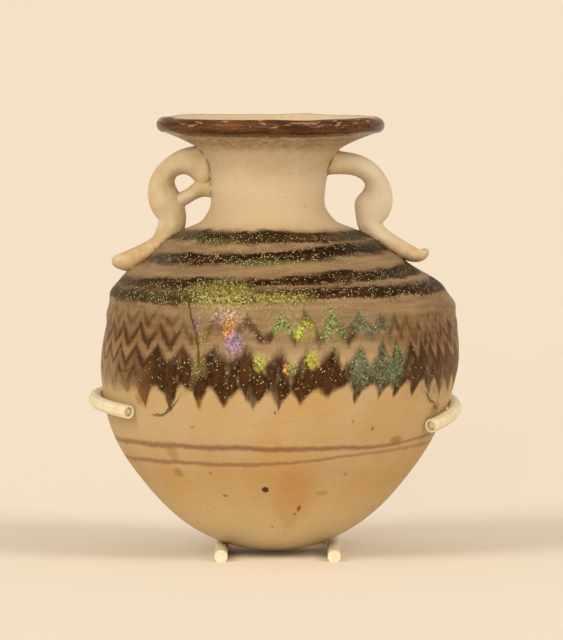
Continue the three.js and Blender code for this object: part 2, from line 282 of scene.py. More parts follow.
# %% Coils
HANDLE_DEPTH = 4.6 * MM
COIL_SIDES = 12
SWELL = 1.07  # the subdivision draws a cage in by about this much
LEFT_RING = [
    (-9.6, 57.6, 8.2),
    (-11.2, 58.6, 6.2),
    (-13.9, 59.6, 4.3),
    (-16.6, 58.5, 3.1),
    (-18.0, 56.6, 3.7),
    (-17.9, 54.3, 4.8),
    (-17.1, 52.5, 5.0),
    (-16.3, 50.9, 4.3),
    (-16.4, 49.2, 4.4),
]
LEFT_TAIL = [
    (-18.0, 46.6, 2.9),
    (-20.4, 45.3, 3.0),
    (-22.8, 43.9, 3.5),
    (-24.6, 44.0, 2.3),
    (-25.6, 44.2, 1.2),
]
LEFT_BRIDGE = [
    (-9.4, 55.6, 4.0),
    (-11.0, 55.5, 3.4),
    (-12.4, 55.0, 2.4),
    (-13.7, 54.1, 1.9),
    (-15.1, 53.3, 2.3),
    (-17.2, 52.8, 3.0),
]
RIGHT_RING = [
    (5.2, 59.2, 4.0),
    (7.6, 59.1, 3.7),
    (10.0, 59.0, 3.3),
    (12.6, 58.5, 3.3),
    (14.6, 56.7, 3.3),
    (15.0, 54.3, 4.7),
    (14.0, 52.5, 5.9),
    (13.9, 50.8, 4.7),
    (13.6, 49.2, 3.9),
]
RIGHT_TAIL = [
    (15.2, 47.8, 2.8),
    (17.6, 46.4, 2.5),
    (20.2, 44.9, 2.6),
    (21.8, 44.9, 1.8),
    (22.5, 45.9, 0.9),
]
TAIL_WIDTHS = [1, 0.95, 0.75, 0.55, 0.4]
BRIDGE_DEPTH = 3.2 * MM


def placed(stations):
    """For each station: the matrix that puts a unit circle there, square to the path."""
    spots = [Vector((AXIS.x + x * MM, AXIS.y, BASE + z * MM)) for x, z, *_ in stations]
    matrices = []
    for k, (x, z, thick, wide) in enumerate(stations):
        along = (spots[min(k + 1, len(spots) - 1)] - spots[max(k - 1, 0)]).normalized()
        across = Vector((0, 1, 0))
        sizes = Matrix.Diagonal((thick * MM / 2 * SWELL, wide / 2 * SWELL, 1))
        turn = Matrix((along.cross(across), across, along)).transposed()
        matrices.append(Matrix.Translation(spots[k]) @ (turn @ sizes).to_4x4())
    return matrices


def coil(ring, tail, depth=HANDLE_DEPTH):
    """A handle's cage: a circle extruded along its stations, closed at both ends."""
    stations = [(x, z, thick, depth) for x, z, thick in ring]
    stations += [(x, z, thick, HANDLE_DEPTH * wide) for (x, z, thick), wide in zip(tail, TAIL_WIDTHS)]
    cage = bmesh.new()
    circle = bmesh.ops.create_circle(cage, cap_ends=True, segments=COIL_SIDES, radius=1)["verts"]
    before, *after = placed(stations)
    bmesh.ops.transform(cage, matrix=before, verts=circle)
    edges = list(cage.edges)
    for matrix in after:
        made = bmesh.ops.extrude_edge_only(cage, edges=edges)["geom"]
        circle = [part for part in made if isinstance(part, bmesh.types.BMVert)]
        edges = [e for e in made if isinstance(e, bmesh.types.BMEdge) and set(e.verts) <= set(circle)]
        bmesh.ops.transform(cage, matrix=matrix @ before.inverted(), verts=circle)
        before = matrix
    bmesh.ops.contextual_create(cage, geom=edges)
    bmesh.ops.recalc_face_normals(cage, faces=cage.faces)
    return cage


def kept(cage, name):
    """An object from a bmesh, in the scene."""
    mesh = bpy.data.meshes.new(name)
    cage.to_mesh(mesh)
    cage.free()
    made = bpy.data.objects.new(name, mesh)
    bpy.context.collection.objects.link(made)
    return made


def modified(made, kind, **settings):
    """The same object with one modifier run on it."""
    modifier = made.modifiers.new(kind, kind)
    for key, value in settings.items():
        setattr(modifier, key, value)
    mesh = bpy.data.meshes.new_from_object(made.evaluated_get(bpy.context.evaluated_depsgraph_get()))
    made.modifiers.clear()
    made.data = mesh
    return made


PATHS = {
    "left": (LEFT_RING, LEFT_TAIL),
    "bridge": (LEFT_BRIDGE, [], BRIDGE_DEPTH),
    "right": (RIGHT_RING, RIGHT_TAIL),
}
cages = [kept(coil(*path), name) for name, path in PATHS.items()]
coils = [modified(cage, "SUBSURF", levels=3, render_levels=3) for cage in cages]
print(f"coils: {', '.join(str(len(made.data.polygons)) for made in coils)} faces")

# %% [markdown]
# Fusing
#
# The coils were laid on while everything was hot, so they melted into the neck and the shoulder. The solids
# are joined first. Then only the points near a joint are smoothed, which rounds it off like melted glass and
# leaves the rest as it was. Four values are kept on the points for the finish: which glass a point belongs
# to, how close it is to a joint, where dirt gathers, its place on the lathe, and whether it lies on the lip
# thread.

# %% Join the coils
JOINT_REACH = 1.2 * MM
DIRT_REACH = 0.55 * MM
NEAR_COIL = 2 * MM
FAR_OFF = 4 * MM
ROUNDING_PASSES = 6
THREAD_ENDS = (96, 114)  # degrees round the thread's section, where its colour stops

coil_trees = [BVHTree.FromObject(one, bpy.context.evaluated_depsgraph_get()) for one in coils]


def off_coils(point):
    """How far a point is from the nearest coil."""
    return min(tree.find_nearest(point)[3] for tree in coil_trees)


near_coils = {face for face in turned.faces if off_coils(face.calc_center_median()) < NEAR_COIL}
near_edges = list({edge for face in near_coils for edge in face.edges})
bmesh.ops.subdivide_edges(turned, edges=near_edges, cuts=1, use_grid_fill=True)
wall_tree = BVHTree.FromBMesh(turned)
flask = kept(turned, "flask_glass")
for one in coils:
    modified(flask, "BOOLEAN", operation="UNION", solver="EXACT", object=one)


def on_thread(point):
    """1 on the dark lip thread and 0 away from it. The rim's inside is bare ivory glass."""
    out, up = lip_shift(turn_of(point))
    aside = math.hypot(point.x - AXIS.x, point.y - AXIS.y) - lip_middle[0] - out
    above = point.z - lip_middle[1] - up
    near = 1 - ramp(math.hypot(aside, above), 0.55 * LIP_THREAD, 0.8 * LIP_THREAD)
    return near * (1 - ramp(abs(math.degrees(math.atan2(above, aside))), *THREAD_ENDS))


joined = bmesh.new()
joined.from_mesh(flask.data)
bmesh.ops.triangulate(joined, faces=[f for f in joined.faces if len(f.verts) > 4])
coil_layer = joined.verts.layers.float.new("coil")
joint_layer = joined.verts.layers.float.new("joint")
lathe_layer = joined.verts.layers.float_vector.new("lathe")
lip_layer = joined.verts.layers.float.new("lip")
off_coil = {v: off_coils(v.co) for v in joined.verts}
off_wall = {v: wall_tree.find_nearest(v.co)[3] for v in joined.verts if off_coil[v] < FAR_OFF}
to_joint = {v: max(off_coil[v], off_wall.get(v, FAR_OFF)) for v in joined.verts}
all_axes = {"use_axis_x": True, "use_axis_y": True, "use_axis_z": True}
for step in range(ROUNDING_PASSES):
    near = [v for v in joined.verts if to_joint[v] < JOINT_REACH * (1 - step / 8)]
    bmesh.ops.smooth_vert(joined, verts=near, factor=0.5, **all_axes)
for vertex in joined.verts:
    vertex[coil_layer] = float(off_coil[vertex] < off_wall.get(vertex, 0))
    vertex[joint_layer] = 1 - ramp(to_joint[vertex], 0, DIRT_REACH)
    lean = Vector((np.interp(vertex.co.z, heights, leans), 0, BASE))
    vertex[lathe_layer] = (vertex.co - AXIS - lean) / MM
    vertex[lip_layer] = on_thread(vertex.co - Vector((lean.x, 0, 0)))
for face in joined.faces:
    face.smooth = True
joined.to_mesh(flask.data)
joined.free()
for one in coils:
    bpy.data.objects.remove(one)
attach(flask, "root")
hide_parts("flask")
print(f"flask: {len(flask.data.polygons)} faces")

# %% [markdown]
# Shader expressions
#
# A finish is worked out by nodes, one for each small sum. Wired by hand they are hard to read, so one class
# stands for a socket and turns Python's own operators into Math nodes. Every other node comes from one
# method, which takes its type, its settings and what goes into its sockets.

# %% Shader expressions
class Signal:
    """One output socket, which Python expressions can add to, multiply and compare."""

    def __init__(self, finish, socket):
        self.finish = finish
        self.socket = socket

    def math(self, operation, *others):
        """A Math node that starts with this socket."""
        return self.finish.node("Math", {"operation": operation}, (self, *others))

    def __add__(self, other):
        return self.math("ADD", other)

    def __mul__(self, other):
        return self.math("MULTIPLY", other)

    def __sub__(self, other):
        return self.math("SUBTRACT", other)

    def __rsub__(self, other):
        return self.finish.node("Math", {"operation": "SUBTRACT"}, (other, self))

    def __truediv__(self, other):
        return self.math("DIVIDE", other)

    def __pow__(self, other):
        return self.math("POWER", other)

    def __or__(self, other):
        return self.math("MAXIMUM", other)

    def __and__(self, other):
        return self.math("MINIMUM", other)

    def __abs__(self):
        return self.math("ABSOLUTE")

    __radd__ = __add__
    __rmul__ = __mul__
    __ror__ = __or__

    def also(self, output):
        """Another output of the same node."""
        return Signal(self.finish, self.socket.node.outputs[output])

    def step(self, low, high):
        """0 below low, 1 above high, and a smooth step between them."""
        settings = {"interpolation_type": "SMOOTHSTEP"}
        return self.finish.node("MapRange", settings, (self, low, high, 0, 1))


class Finish:
    """A material with its shader, and the one method that adds a node to it."""

    def __init__(self, name, **values):
        self.material = bpy.data.materials.new(name)
        self.material.use_nodes = True
        self.nodes = self.material.node_tree.nodes
        self.shader = self.nodes["Principled BSDF"]
        self.feed(self.shader, {key.replace("_", " "): value for key, value in values.items()})

    def feed(self, node, inputs):
        """Sets a node's sockets, by name or number, to plain values or links."""
        for key, value in inputs.items():
            if isinstance(value, Signal):
                self.material.node_tree.links.new(value.socket, node.inputs[key])
            else:
                node.inputs[key].default_value = value

    def node(self, kind, settings, inputs, output=0):
        """A new node: first its settings, then its sockets. Gives one of its outputs."""
        made = self.nodes.new("ShaderNode" + kind)
        for key, value in settings.items():
            if key == "stops":
                self.set_stops(made.color_ramp.elements, value)
            else:
                setattr(made, key, value)
        self.feed(made, inputs if isinstance(inputs, dict) else dict(enumerate(inputs)))
        return Signal(self, made.outputs[output])

    def set_stops(self, stops, values):
        """Gives a ramp its stops, as (place, colour) from 0 to 1."""
        stops[0].position, stops[0].color = values[0]
        stops[-1].position, stops[-1].color = values[-1]
        for place, colour in values[1:-1]:
            stops.new(place).color = colour

    def drawn(self, where, table):
        """Up to three values that follow a table, whose first column is the place."""
        table = np.array(table, float)
        low = table.min(axis=0)
        size = np.maximum(table.max(axis=0) - low, 1e-6)
        rows = (table - low) / size
        stops = [(row[0], (*row[1:], *[0] * (4 - len(row)), 1)) for row in rows]
        colour = self.node("ValToRGB", {"stops": stops}, ((where - low[0]) / size[0],))
        split = self.node("SeparateColor", {}, (colour,))
        return [split.also(k) * size[k + 1] + low[k + 1] for k in range(table.shape[1] - 1)]

    def cloud(self, where, size, detail=2.0, roughness=0.5):
        """Soft noise from 0 to 1 in lumps of about this size in millimetres."""
        inputs = {"Vector": where, "Scale": 1 / size, "Detail": detail, "Roughness": roughness}
        return self.node("TexNoise", {}, inputs)

    def stretched(self, where, x, y, z):
        """The same place with its three axes scaled, which draws noise out into streaks."""
        return self.node("VectorMath", {"operation": "MULTIPLY"}, (where, (x, y, z)))

    def over(self, below, above, mask):
        """Two colours, the second laid over the first where the mask is 1."""
        return self.node("Mix", {"data_type": "RGBA"}, {0: mask, 6: below, 7: above}, output=2)


LIGHT_ON_WALL = (1.24, 1.16, 1.05)


def seen(red, green, blue):
    """The finish colour that looks like this, in a screen's 0 to 255, under the light on the wall."""
    parts = [value / 255 for value in (red, green, blue)]
    linear = [p / 12.92 if p < 0.04045 else ((p + 0.055) / 1.055) ** 2.4 for p in parts]
    return (*[p / light for p, light in zip(linear, LIGHT_ON_WALL)], 1)


# %% [markdown]
# Places on the wall
#
# The pattern is laid out as the maker laid it: by the angle round the flask and the height on it. Both are
# read from the place that a point had on the lathe, before the lean. Slow noise is added to both, because a
# hand never holds a line quite level. A second set of coordinates lies on an even cylinder, so that streaks
# along or across the trails stay the same width all over the body.

# %% Places on the wall
SKIN = {"IOR": 1.5, "Specular_IOR_Level": 0.05, "Subsurface_Weight": 0.25, "Subsurface_Scale": 0.0012}
glass = Finish("ivory_glass", **SKIN)
glass.shader.inputs["Subsurface Radius"].default_value = (1.0, 0.6, 0.3)

lathe = glass.node("Attribute", {"attribute_name": "lathe"}, (), output="Vector")
across = glass.node("SeparateXYZ", {}, (lathe,))
away, level = across.also(1), across.also(2)
turn = across.math("ARCTAN2", 0 - away) * math.degrees(1)
radius = (across * across + away * away).math("SQRT") | 1
EVEN_RADIUS = 27
even = glass.node("CombineXYZ", {}, (across / radius * EVEN_RADIUS, away / radius * EVEN_RADIUS, level))
slow = glass.cloud(even, 8)
fine = glass.cloud(lathe, 1.1, detail=3)
strokes = glass.cloud(glass.stretched(even, 0.9, 0.9, 0.22), 1, detail=2)
streaks = glass.cloud(glass.stretched(even, 0.14, 0.14, 1.4), 1, detail=2)
grain = glass.cloud(lathe, 0.35, detail=3)
ragged = (fine - 0.5) * 1.8 + (grain - 0.5) * 1.4
height = level + (slow - 0.5) * 1.0 + ragged * (0.8 - level.step(37, 45) * 0.62)

# %% [markdown]
# Shoulder trail
#
# One thread of dark glass was wound round the shoulder in a rising spiral of a little over three turns, and
# rolled flush. So it is drawn as one line: its height and half its width at each number of turns. Each pass
# over the front is the same line a turn later.

# %% Shoulder trail
SHOULDER_TRAIL = [
    (-0.40, 38.8, 0.2, 0.0),
    (-0.22, 39.6, 0.8, 0.75),
    (-0.11, 39.7, 1.0, 1.0),
    (-0.05, 40.1, 1.1, 0.9),
    (0.00, 40.1, 0.9, 0.9),
    (0.06, 40.6, 0.8, 0.9),
    (0.11, 40.6, 0.8, 1.0),
    (0.17, 40.5, 0.85, 1.0),
    (0.22, 40.9, 0.85, 1.0),
    (0.50, 41.0, 0.7, 0.9),
    (0.78, 41.2, 0.7, 0.6),
    (0.89, 41.6, 0.8, 0.9),
    (0.95, 41.7, 0.8, 0.8),
    (1.00, 42.1, 0.6, 0.9),
    (1.06, 42.6, 0.75, 1.0),
    (1.11, 42.7, 0.75, 1.0),
    (1.17, 42.9, 0.75, 1.0),
    (1.22, 43.5, 0.8, 1.0),
    (1.50, 44.0, 0.6, 0.9),
    (1.78, 44.5, 0.7, 0.6),
    (1.89, 45.2, 0.8, 0.95),
    (2.00, 45.3, 0.8, 0.85),
    (2.06, 45.9, 0.9, 0.8),
    (2.11, 46.4, 0.9, 0.8),
    (2.22, 46.6, 0.8, 0.8),
    (2.50, 47.3, 0.7, 0.9),
    (2.78, 48.1, 0.6, 0.7),
    (2.89, 48.2, 0.85, 1.0),
    (3.00, 48.3, 0.8, 1.0),
    (3.11, 48.2, 0.65, 1.0),
    (3.22, 48.2, 0.5, 0.9),
    (3.40, 48.6, 0.2, 0.0),
]


def wound(table, passes, soft, where):
    """How strongly a trail that is wound round the flask colours each place."""
    colour = 0
    for turns in passes:
        middle, half, strength = glass.drawn(turn / 360 + turns, table)
        off = abs(where - middle) / half
        colour = colour | (1 - off.step(1 - soft, 1 + soft)) * strength
    return colour


shoulder = (wound(SHOULDER_TRAIL, range(4), 0.5, height + (streaks - 0.5) * 1.2) * 1.35) & 1

# %% [markdown]
# Combed zigzags
#
# Below the shoulder the threads were dragged up and down with a point, about forty strokes in all. A table
# says at which angle each downward stroke falls and how the strokes slant. Between whole numbers the count
# runs from one tip to the next. The first row is a thin zigzag, and below it a broad band is feathered at
# both edges.

# %% Strokes
STROKE_COUNT = [
    (-180, -19.43, 0.00, 0.0),
    (-58, -6, 0.00, 0.0),
    (-48, -5, 0.05, 0.0),
    (-37, -4, 0.15, 0.0),
    (-26, -3, 0.20, 0.0),
    (-17, -2, 0.00, 0.0),
    (-8, -1, -0.25, 0.0),
    (1, 0, -0.40, 0.0),
    (8, 1, -0.45, 0.0),
    (17, 2, -0.42, 0.0),
    (25.5, 3, -0.50, 0.0),
    (34.5, 4, -0.45, 0.0),
    (40.5, 5, -0.42, 0.1),
    (49.5, 6, -0.30, 0.8),
    (57.5, 7, 0.00, 1.6),
    (65, 8, 0.00, 2.2),
    (80, 9.6, 0.00, 2.2),
    (115, 13.6, 0.00, 0.6),
    (180, 20.57, 0.00, 0.0),
]
count, shift, slant = glass.drawn(turn, STROKE_COUNT)
climb = (level - 25) / 6
phase = count + shift * climb.step(0, 1) + slant * climb * 0.5 + (slow - 0.5) * 0.45
between = abs(phase - phase.math("ROUND")) * 2

# %% Zigzag rows
FIRST_ROW = [
    (-180, 36.8, 33.6, 0.8),
    (-70, 35.3, 33.3, 0.7),
    (-43, 35.4, 33.0, 0.8),
    (-34, 35.6, 33.0, 0.7),
    (-20, 36.8, 33.4, 0.9),
    (0, 36.5, 33.7, 1.0),
    (7.5, 37.3, 33.8, 1.1),
    (16, 37.0, 33.3, 1.3),
    (26, 36.7, 34.3, 1.2),
    (40, 36.4, 34.5, 1.0),
    (60, 35.4, 33.0, 0.8),
    (180, 36.8, 33.6, 0.8),
]
BAND_TOP = [
    (-180, 33.0, 30.6, 0.9),
    (-75, 31.2, 29.0, 0.35),
    (-55, 32.0, 30.2, 0.6),
    (-43, 32.5, 30.6, 1.0),
    (-34, 32.2, 30.3, 1.0),
    (-20, 33.0, 30.5, 1.0),
    (5, 32.0, 30.2, 1.0),
    (26, 32.6, 29.7, 1.0),
    (34, 33.0, 30.0, 1.0),
    (41, 33.6, 31.0, 1.0),
    (52, 33.2, 31.2, 0.9),
    (66, 33.2, 30.0, 0.75),
    (110, 33.0, 30.5, 0.9),
    (180, 33.0, 30.6, 0.9),
]
BAND_FOOT = [
    (-180, 24.2, 26.8),
    (-58, 24.8, 26.2),
    (-48, 22.9, 26.3),
    (-37, 22.9, 26.4),
    (-26, 23.4, 26.7),
    (-17, 22.9, 26.0),
    (-8, 23.1, 25.7),
    (1, 23.2, 25.6),
    (8, 23.7, 25.8),
    (17, 24.6, 26.4),
    (25.5, 24.2, 27.1),
    (34.5, 24.1, 26.9),
    (40.5, 24.6, 26.7),
    (49.5, 24.2, 27.1),
    (57.5, 24.5, 27.1),
    (66, 24.0, 27.0),
    (180, 24.2, 26.8),
]
feather = (strokes - 0.5) * 3.5 + ragged * 0.8
reach = glass.cloud(glass.stretched(even, 0.3, 0.3, 0), 1, detail=1) - 0.5
peak, valley, half = glass.drawn(turn, FIRST_ROW)
first_off = abs(level + feather * 0.5 - valley - (peak - valley) * between**1.2) / half
first_row = (1 - first_off.step(0.3, 1.6)) * (turn.step(-30, -5) * 0.5 + 0.5 - turn.step(38, 50) * 0.4)
peak, valley, strength = glass.drawn(turn, BAND_TOP)
band_top = valley + (peak - valley) * between**1.3
tip, notch = glass.drawn(turn, BAND_FOOT)
band_foot = notch - (notch - tip + reach * 2.4) * (1 - between) ** 1.6
under_top = 1 - (level + feather * 0.8 + reach * 2 - band_top).step(-1.2, 1.2)
band = under_top * (level + feather * 0.4 - band_foot).step(-0.6, 0.7) * strength
print(f"{len(FIRST_ROW) + len(BAND_TOP) + len(BAND_FOOT)} stations shape the two rows")

# %% [markdown]
# Lower threads
#
# Two thin threads run under the zigzags. They are the two passes of one line, which splits on the right.

# %% Lower threads
LOWER_TRAIL = [
    (-0.60, 14.8, 0.1, 0.0),
    (-0.30, 14.9, 0.3, 0.7),
    (-0.22, 15.0, 0.32, 0.7),
    (-0.03, 15.1, 0.3, 0.7),
    (0.03, 15.6, 0.22, 0.6),
    (0.08, 16.3, 0.22, 0.55),
    (0.14, 17.0, 0.25, 0.5),
    (0.22, 17.3, 0.25, 0.5),
    (0.50, 17.5, 0.3, 0.7),
    (0.75, 17.7, 0.38, 0.75),
    (1.00, 17.65, 0.38, 0.9),
    (1.10, 17.5, 0.34, 0.75),
    (1.14, 17.9, 0.24, 0.65),
    (1.19, 18.7, 0.25, 0.6),
    (1.40, 19.0, 0.1, 0.0),
]
threads = wound(LOWER_TRAIL, range(2), 0.8, level + (slow - 0.5) * 0.9 + (fine - 0.5) * 0.5 + 0.35)

# %% [markdown]
# Two thousand years
#
# Dark glass weathers before ivory glass does. Its skin splits into films as thin as a soap bubble's, which
# shine green, gold or violet and flake off in specks. Each patch is a soft ellipse that noise eats into, and
# it holds mostly to the dark glass.

# %% Weathering
PALE_GOLD = (220, 206, 148)
GOLD = (160, 144, 60)
OLIVE = (118, 108, 56)
LEAF = (148, 156, 80)
GREEN = (116, 122, 84)
YELLOW = (205, 205, 60)
ORANGE = (214, 138, 66)
VIOLET = (158, 124, 150)
PINK = (206, 160, 146)
GREY_GREEN = (92, 88, 56)
PATCHES = [
    (-62, 48.3, 18, 1.0, GREY_GREEN, 0.55, 0.2),
    (-66, 44.8, 14, 1.1, GREY_GREEN, 0.5, 0.2),
    (-62, 39.5, 18, 2.2, OLIVE, 0.25, 0.2),
    (-42, 39.6, 9, 1.4, OLIVE, 0.4, 0.1),
    (-28, 47.2, 16, 0.8, GOLD, 0.35, 0.1),
    (-20, 39.6, 12, 2.4, GOLD, 1.0, 0.5),
    (2, 39.5, 9, 1.1, GOLD, 1.0, 0.4),
    (-2, 44.6, 18, 0.5, LEAF, 0.4, 0.5),
    (-18, 36.9, 4.5, 1.3, PINK, 0.8, 0.8),
    (-17, 35.0, 2.4, 2.2, ORANGE, 1.0, 0.9),
    (-15, 33.2, 3.0, 1.7, VIOLET, 1.0, 0.9),
    (-28.5, 35.6, 1.6, 1.3, VIOLET, 0.9, 0.8),
    (-27, 32.5, 2.2, 4.0, GOLD, 0.7, 0.4),
    (1, 35.9, 5.5, 1.9, LEAF, 1.0, 0.3),
    (8, 37.0, 3.8, 1.8, OLIVE, 0.9, 0.1),
    (7, 34.8, 3.0, 1.6, YELLOW, 0.9, 0.2),
    (16.5, 35.6, 4.4, 3.0, LEAF, 1.0, 0.3),
    (28, 36.2, 9, 1.8, GREEN, 0.9, 0.3),
    (26.5, 29.8, 3.6, 3.4, GREEN, 1.0, 0.1),
    (36.5, 30.0, 6.5, 3.6, GREEN, 1.0, 0.1),
    (-6.5, 30.4, 1.9, 1.3, YELLOW, 0.85, 0.4),
    (10, 30.8, 2.0, 1.4, YELLOW, 0.85, 0.4),
    (3.8, 29.7, 1.8, 1.2, LEAF, 1.0, 0.5),
    (2, 29.4, 1.0, 0.9, ORANGE, 1.0, 0.8),
    (60, 47.8, 25, 1.4, GREY_GREEN, 0.35, 0.1),
    (130, 38.0, 22, 5.0, GREEN, 0.9, 0.1),
    (-140, 35.0, 16, 4.0, GOLD, 0.8, 0.1),
    (170, 46.0, 20, 1.6, OLIVE, 0.8, 0.1),
]
dark = shoulder | first_row | band
eaten = (glass.cloud(even, 2.0, detail=4, roughness=0.65) - 0.5) * 1.5
FLECK = 0.29
flecks = glass.node("TexVoronoi", {}, {"Vector": lathe, "Scale": 1 / FLECK})
pick = glass.node("SeparateColor", {}, (flecks.also("Color"),))
fleck_light, fleck_hue = pick.also(1), pick.also(2)


def patch(middle, height_there, wide, tall, edge=0.45):
    """A soft ellipse on the wall, in degrees and millimetres, with an eaten edge."""
    aside = (turn - middle) / wide
    up = (level - height_there) / tall
    off = (aside * aside + up * up).math("SQRT") + eaten * 0.8
    return 1 - off.step(1 - edge, 1 + edge)


# %% [markdown]
# Body colours
#
# The colours are laid one over another, in the order in which they came to be: ivory glass, the dirt that
# dulls the shoulder, the dark trails, the weathered patches, and specks that catch the light. Two layers are
# painted
# light and shade: the bottom of the belly is painted paler, as light from below, and the flare under the lip
# is painted darker, as the lip's shadow. At both sides the comb drew the dark glass into nested chevrons, and
# those on the right are rubbed into strokes.

# %% Body colours
IVORY = seen(202, 168, 120)
HONEY = seen(200, 154, 90)
TAUPE = seen(141, 110, 75)
UMBER = seen(38, 20, 5)
BROWN = seen(84, 50, 22)
RUST = seen(126, 76, 50)

colour = glass.over(IVORY, HONEY, (slow * 1.3 + (1 - level.step(4, 22)) * 0.5 - 0.3).step(0.1, 0.9))
# Painted light: the lowest part of the belly is painted paler, for light bouncing up from below and shining
# through the glass.
colour = glass.over(colour, seen(222, 192, 138), 1 - level.step(2, 14))
colour = glass.over(colour, seen(208, 177, 134), level.step(47, 51))
colour = glass.over(colour, seen(222, 193, 152), level.step(51, 56))
worn_neck = level.step(54, 59) * (slow * 0.8 + fine * 0.8 - 0.3)
colour = glass.over(colour, seen(190, 156, 108), worn_neck.step(0.1, 0.8) * 0.4)
# Painted shadow: the flare just under the lip is painted darker and mottled, as the shade that the lip casts
# on it.
flare_shade = level.step(60.3, 62.3) * (1 - level.step(63.2, 63.6)) * (fine * 1.2 + streaks * 0.8 - 0.3)
colour = glass.over(colour, seen(138, 108, 76), flare_shade.step(0.1, 1.0) * 0.7)
dulled = level.step(29, 34) * (1 - height.step(48.7, 49.7)) * (0.88 + (streaks - 0.5) * 1.0)
colour = glass.over(colour, TAUPE, dulled)
depth = ((strokes - 0.5) * 2.4 + (slow - 0.5) * 1.6 + (grain - 0.5) * 1.6 + 0.45).step(0.05, 0.95)
zigzag_colour = glass.over(UMBER, BROWN, depth)
mottle = ((streaks - 0.5) * 2.4 + (grain - 0.5) * 2.0 + 0.35).step(0.05, 0.95)
shoulder_colour = glass.over(UMBER, BROWN, mottle)
smoky = patch(-57, 32.0, 30, 5.0, edge=0.6) | patch(64, 31.5, 21, 5.2, edge=0.7)
CHEVRON_GAP = 3.1
CHEVRON_HEIGHT = 2.7
pulled = (level + feather * 0.3 - between**1.3 * CHEVRON_HEIGHT) / CHEVRON_GAP
chevron = 1 - abs(pulled.math("FRACT") - 0.5) * 2
rubbed = turn.step(40, 56)
smoke = chevron * (1.2 - rubbed * 0.5) + (strokes - 0.5) * (1.2 + rubbed * 1.2) + (streaks - 0.5) * 0.5
smoke = smoke + ragged * 0.3 + rubbed * 0.25
colour = glass.over(colour, seen(124, 80, 46), smoky * 0.45)
colour = glass.over(colour, seen(84, 48, 22), smoky * smoke.step(0.2, 1.3))
colour = glass.over(colour, zigzag_colour, first_row * (0.7 + (strokes - 0.5) * 1.5))
solid = 1.0 + (strokes - 0.5) * 1.3 + (slow - 0.5) * 0.8 + ragged * 0.25 - (1 - level.step(23, 26.5)) * 0.25
colour = glass.over(colour, zigzag_colour, band * (solid & 1))
colour = glass.over(colour, shoulder_colour, shoulder)
colour = glass.over(colour, RUST, threads * (0.82 + (grain - 0.5) * 0.6))

shine = 0
for middle, high, wide, tall, tint, strength, spread in PATCHES:
    mask = patch(middle, high, wide, tall) * (dark * (1 - spread) + spread) * strength
    light_flake = [min(255, v * 1.15 + 14) for v in tint]
    tinted = glass.over(seen(*[v * 0.52 for v in tint]), seen(*light_flake), fleck_light)
    colour = glass.over(colour, tinted, mask * (0.45 + fleck_hue * 0.55))
    shine = shine | mask
SPECK_ZONES = [
    (-15, 39.8, 46, 2.6, 1.2),
    (-10, 47.4, 56, 1.6, 1.2),
    (0, 45.0, 52, 1.2, 1.1),
    (8, 56.5, 45, 3.0, 0.3),
    (35, 41.0, 36, 2.4, 0.9),
    (0, 35.0, 30, 3.2, 0.5),
    (-26, 33.0, 5, 5.0, 0.9),
    (0, 28.5, 52, 3.4, 0.35),
    (120, 36.0, 50, 9.0, 0.3),
    (-130, 38.0, 50, 9.0, 0.3),
]
specked = 0
for middle, high, wide, tall, amount in SPECK_ZONES:
    specked = specked | patch(middle, high, wide, tall, edge=0.6) * amount
speck = (pick + specked * 0.5 - 0.02).step(0.97, 1.0) * (1 - flecks.step(0.28, 0.42)) * (0.35 + dark * 0.65)
colour = glass.over(colour, seen(*PALE_GOLD), speck * (0.2 + fleck_light * 0.8))
pit_speck = (1 - pick + specked * 0.3).step(0.98, 1.0) * (1 - flecks.step(0.3, 0.45))
colour = glass.over(colour, seen(48, 30, 12), pit_speck * (dark * 0.5 + 0.1))

# %% [markdown]
# Cracks, stains and pits
#
# Dirt has got into the cracks. A crack is a line drawn by a table, as the trails are. The marks are small
# ellipses, and the largest of them is a burst bubble, which is a real hollow in the bump too.

# %% Marks
STEEP_CRACKS = [
    [
        (29.0, -26.2, 0.0),
        (30.0, -26.2, 1.0),
        (32.0, -27.0, 1.0),
        (34.5, -29.0, 1.0),
        (36.5, -30.2, 1.0),
        (39.6, -32.8, 1.0),
        (41.0, -33.0, 0.0),
    ],
    [
        (22.0, -40.0, 0.0),
        (22.4, -39.0, 1.0),
        (23.4, -37.0, 1.0),
        (25.5, -36.4, 1.0),
        (28.0, -38.0, 0.7),
        (29.5, -38.6, 0.0),
    ],
    [(31.0, -37.0, 0.0), (32.0, -37.2, 0.8), (34.0, -37.0, 0.8), (36.0, -38.5, 0.0)],
]
LEVEL_CRACKS = [
    [
        (-46, 21.9, 0.0),
        (-44, 21.9, 0.8),
        (-39.5, 22.2, 1.0),
        (-37.5, 22.9, 1.0),
        (-35, 23.8, 1.0),
        (-33.5, 24.6, 0.5),
        (-32, 25.4, 0.0),
    ],
    [(-64, 28.2, 0.0), (-62, 28.3, 0.5), (-58, 28.2, 0.7), (-55, 28.7, 0.7), (-52, 29.2, 0.0)],
    [
        (55, 25.4, 0.0),
        (57, 24.7, 1.0),
        (60, 23.8, 1.0),
        (63.5, 23.5, 1.0),
        (65.5, 22.6, 1.0),
        (68, 22.2, 0.7),
        (70, 22.0, 0.0),
    ],
]
crack = 0
wobble = (fine - 0.5) * 1.6
for table in STEEP_CRACKS:
    line, strength = glass.drawn(level, table)
    crack = crack | (1 - abs((turn - line) * 0.42 + wobble * 0.5).step(0.07, 0.24)) * strength
for table in LEVEL_CRACKS:
    line, strength = glass.drawn(turn, table)
    crack = crack | (1 - abs(level - line + wobble * 0.5).step(0.07, 0.26)) * strength
colour = glass.over(colour, seen(92, 62, 20), crack * 0.8)

